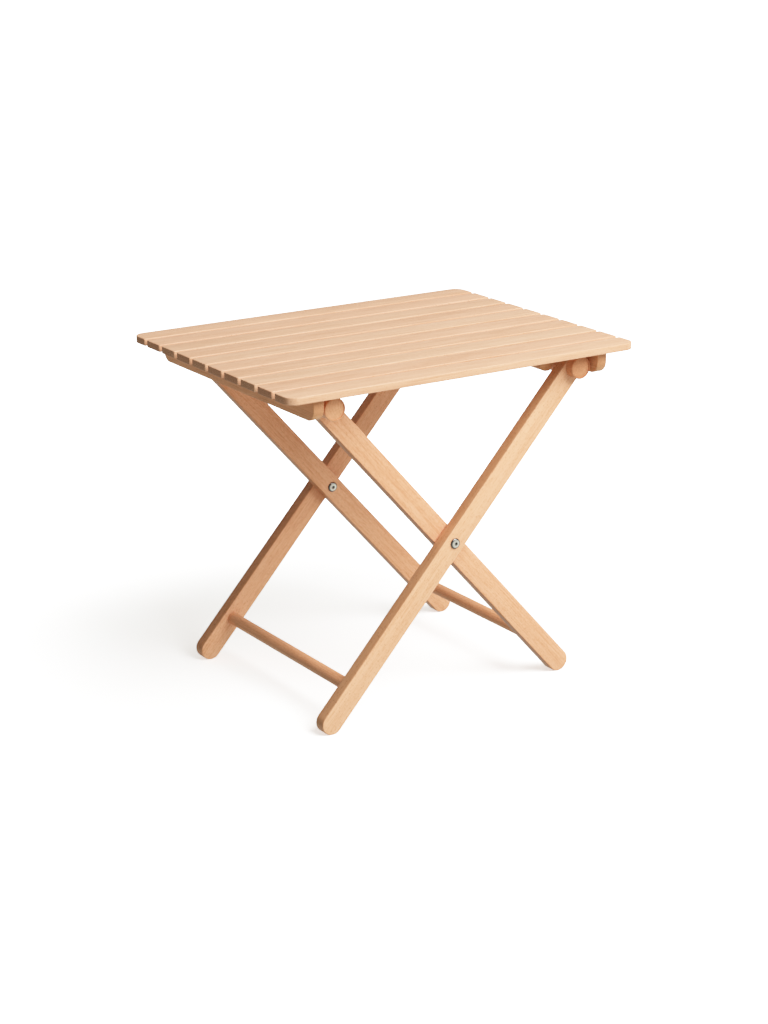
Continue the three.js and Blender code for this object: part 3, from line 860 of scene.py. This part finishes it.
def domed_head(radius):
    """Profile of a low dome with a rounded rim, from its rim's foot to the axis; X outwards."""
    points = [(0, radius), (HEAD_RIM, radius)]
    for i in range(1, DOME_STEPS):
        a = math.pi / 2 * i / DOME_STEPS
        rise = (HEAD_HEIGHT - HEAD_RIM) * math.sin(a) ** DOME_RISE
        points.append((HEAD_RIM + rise, radius * math.cos(a) ** DOME_SPREAD))
    return points + [(HEAD_HEIGHT, 0)]


def bolt_shank(length):
    """Profile of the threaded end, then the plain shank up to the head."""
    profile = [(-length, 0), (-length, BOLT_ROOT)]
    x = -length
    while x + BOLT_PITCH < -length * BOLT_PLAIN_SHARE:
        profile += [(x + 0.5 * BOLT_PITCH, BOLT_CREST), (x + BOLT_PITCH, BOLT_ROOT)]
        x += BOLT_PITCH
    return profile + [(x + BOLT_RUNOUT, BOLT_CREST), (0, BOLT_CREST)]


def sleeve_barrel(length):
    """Profile of the bored barrel up to the head."""
    return [
        (-SLEEVE_CLOSED_END, 0), (-SLEEVE_CLOSED_END, SLEEVE_BORE), (-length, SLEEVE_BORE),
        (-length, SLEEVE_BARREL - SLEEVE_EDGE), (-length + SLEEVE_EDGE, SLEEVE_BARREL), (0, SLEEVE_BARREL),
    ]


def fastener(kind, end, body):
    """The bolt or the sleeve nut: a domed head with a hex socket and its shank."""
    node = f"pivot_{kind}_{end}"
    low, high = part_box(node)
    outward = ENDS[end] if kind == "bolt" else -ENDS[end]
    top = Vector((PIVOT.x, high.y if outward > 0 else low.y, PIVOT.z))
    length = high.y - low.y - HEAD_HEIGHT
    shank = bolt_shank(length) if kind == "bolt" else sleeve_barrel(length)
    profile = shank + domed_head((high.x - low.x) / 2)
    place = along_y(top - outward * HEAD_HEIGHT * Y_AXIS, outward)
    piece = add_piece(node + "_steel", lathe_mesh(profile), place)
    bottom, above = top - outward * SOCKET_DEPTH * Y_AXIS, top + outward * OVERSHOOT * Y_AXIS
    drill(piece, [cutter(SOCKET_RADIUS, bottom, above, SOCKET_SIDES)])
    smooth(piece)
    turned_place(piece)
    finish_piece(piece, node, body, MATERIALS["nickel"])


def washer(end):
    node = "pivot_washer_" + end
    size = size_of(node)
    radius, half = size.x / 2, size.y / 2
    profile = [
        (-half, WASHER_BORE), (-half, radius - WASHER_EDGE), (WASHER_EDGE - half, radius),
        (half - WASHER_EDGE, radius), (half, radius - WASHER_EDGE), (half, WASHER_BORE),
        (-half, WASHER_BORE),
    ]
    piece = add_piece(node + "_disc", lathe_mesh(profile), along_y(middle_of(node)))
    smooth(piece)
    turned_place(piece)
    finish_piece(piece, node, "outer_frame", MATERIALS["nylon"])


# ---------------------------------------------------------------- the scene

def build():
    for index in range(len(SLAT_TONES)):
        slat(index, len(SLAT_TONES))
    for side in SIDES:
        batten(side)
        for end in ENDS:
            saddle(side, end)
    for name in sorted(frame["nodes"]):
        if "screw" in name:
            wood_screw(name)
    for number, frame_name in enumerate(("outer", "inner")):
        dowel(frame_name + "_top_rod", frame_name, ROD_TENON, ROD_SEED + number)
        dowel(frame_name + "_rung", frame_name, RUNG_TENON, RUNG_SEED + number)
        for end in ENDS:
            leg(frame_name, end)
            rod_cap(frame_name, end, CAP_SEED + 2 * number + ENDS[end])
    for end in ENDS:
        fastener("bolt", end, "outer_frame")
        fastener("sleeve", end, "inner_frame")
        washer(end)


def camera():
    data = bpy.data.cameras.new("camera")
    data.lens = CAMERA_LENS
    data.sensor_width = CAMERA_SENSOR
    data.clip_end = CAMERA_REACH
    viewer = bpy.data.objects.new("camera", data)
    bpy.context.scene.collection.objects.link(viewer)
    out = Vector((
        math.sin(CAMERA_AZIMUTH) * math.cos(CAMERA_ELEVATION),
        -math.cos(CAMERA_AZIMUTH) * math.cos(CAMERA_ELEVATION),
        math.sin(CAMERA_ELEVATION),
    ))
    viewer.location = CAMERA_TARGET + CAMERA_DISTANCE * out
    aim = (-out).to_track_quat("-Z", "Y").to_matrix() @ Matrix.Rotation(CAMERA_ROLL, 3, "Z")
    viewer.rotation_euler = aim.to_euler()
    bpy.context.scene.camera = viewer


def key_light():
    data = bpy.data.lights.new("key", "AREA")
    data.shape = "RECTANGLE"
    data.size = data.size_y = KEY_SIZE
    data.energy = KEY_POWER
    lamp = bpy.data.objects.new("key", data)
    bpy.context.scene.collection.objects.link(lamp)
    lamp.location = KEY_PLACE
    lamp.rotation_euler = (Vector(KEY_TARGET) - Vector(KEY_PLACE)).to_track_quat("-Z", "Y").to_euler()


def sky(tree):
    """A dim sky over a bright floor's bounce, in a room lighter in front and darker on the left."""
    add, link = tree.nodes.new, tree.links.new
    background = tree.nodes["Background"]
    direction = add("ShaderNodeTexCoord").outputs["Generated"]
    split = add("ShaderNodeSeparateXYZ")
    link(direction, split.inputs[0])
    level = add("ShaderNodeMapRange")
    link(split.outputs["Z"], level.inputs["Value"])
    level.inputs["From Min"].default_value = -HORIZON
    level.inputs["From Max"].default_value = HORIZON
    level.inputs["To Min"].default_value = BOUNCE_FILL
    level.inputs["To Max"].default_value = SKY_FILL
    lean = add("ShaderNodeVectorMath")
    lean.operation = "DOT_PRODUCT"
    lean.inputs[1].default_value = ROOM_LEAN
    link(direction, lean.inputs[0])
    side = add("ShaderNodeMath")
    side.operation = "ADD"
    side.inputs[1].default_value = 1
    link(lean.outputs["Value"], side.inputs[0])
    strength = add("ShaderNodeMath")
    strength.operation = "MULTIPLY"
    link(level.outputs["Result"], strength.inputs[0])
    link(side.outputs[0], strength.inputs[1])
    link(strength.outputs[0], background.inputs["Strength"])
    background.inputs["Color"].default_value = FILL_TINT


def develop():
    """The camera's response: a soft shoulder that lets the highlights run to white."""
    view = bpy.context.scene.view_settings
    view.view_transform = "Standard"
    view.look = "None"
    view.use_curve_mapping = True
    curves = view.curve_mapping
    curves.white_level = (WHITE, WHITE, WHITE)
    combined = curves.curves[3]
    combined.points[-1].location = (1, 1)
    for i in range(1, CURVE_STEPS):
        x = (i / CURVE_STEPS) ** CURVE_BUNCHING
        combined.points.new(x, (1 - math.exp(-WHITE * x)) / (1 - math.exp(-WHITE)))
    curves.update()


def studio():
    bm = bmesh.new()
    bmesh.ops.create_grid(bm, x_segments=4, y_segments=4, size=FLOOR_SIZE)
    floor = add_piece("studio_floor", bm)
    floor.data.materials.append(floor_material())
    floor.visible_diffuse = False  # the lower half of the sky stands in for its bounce
    floor.visible_glossy = False
    world = bpy.data.worlds.new("studio")
    world.use_nodes = True
    sky(world.node_tree)
    bpy.context.scene.world = world
    key_light()
    develop()


camera()
build()
studio()
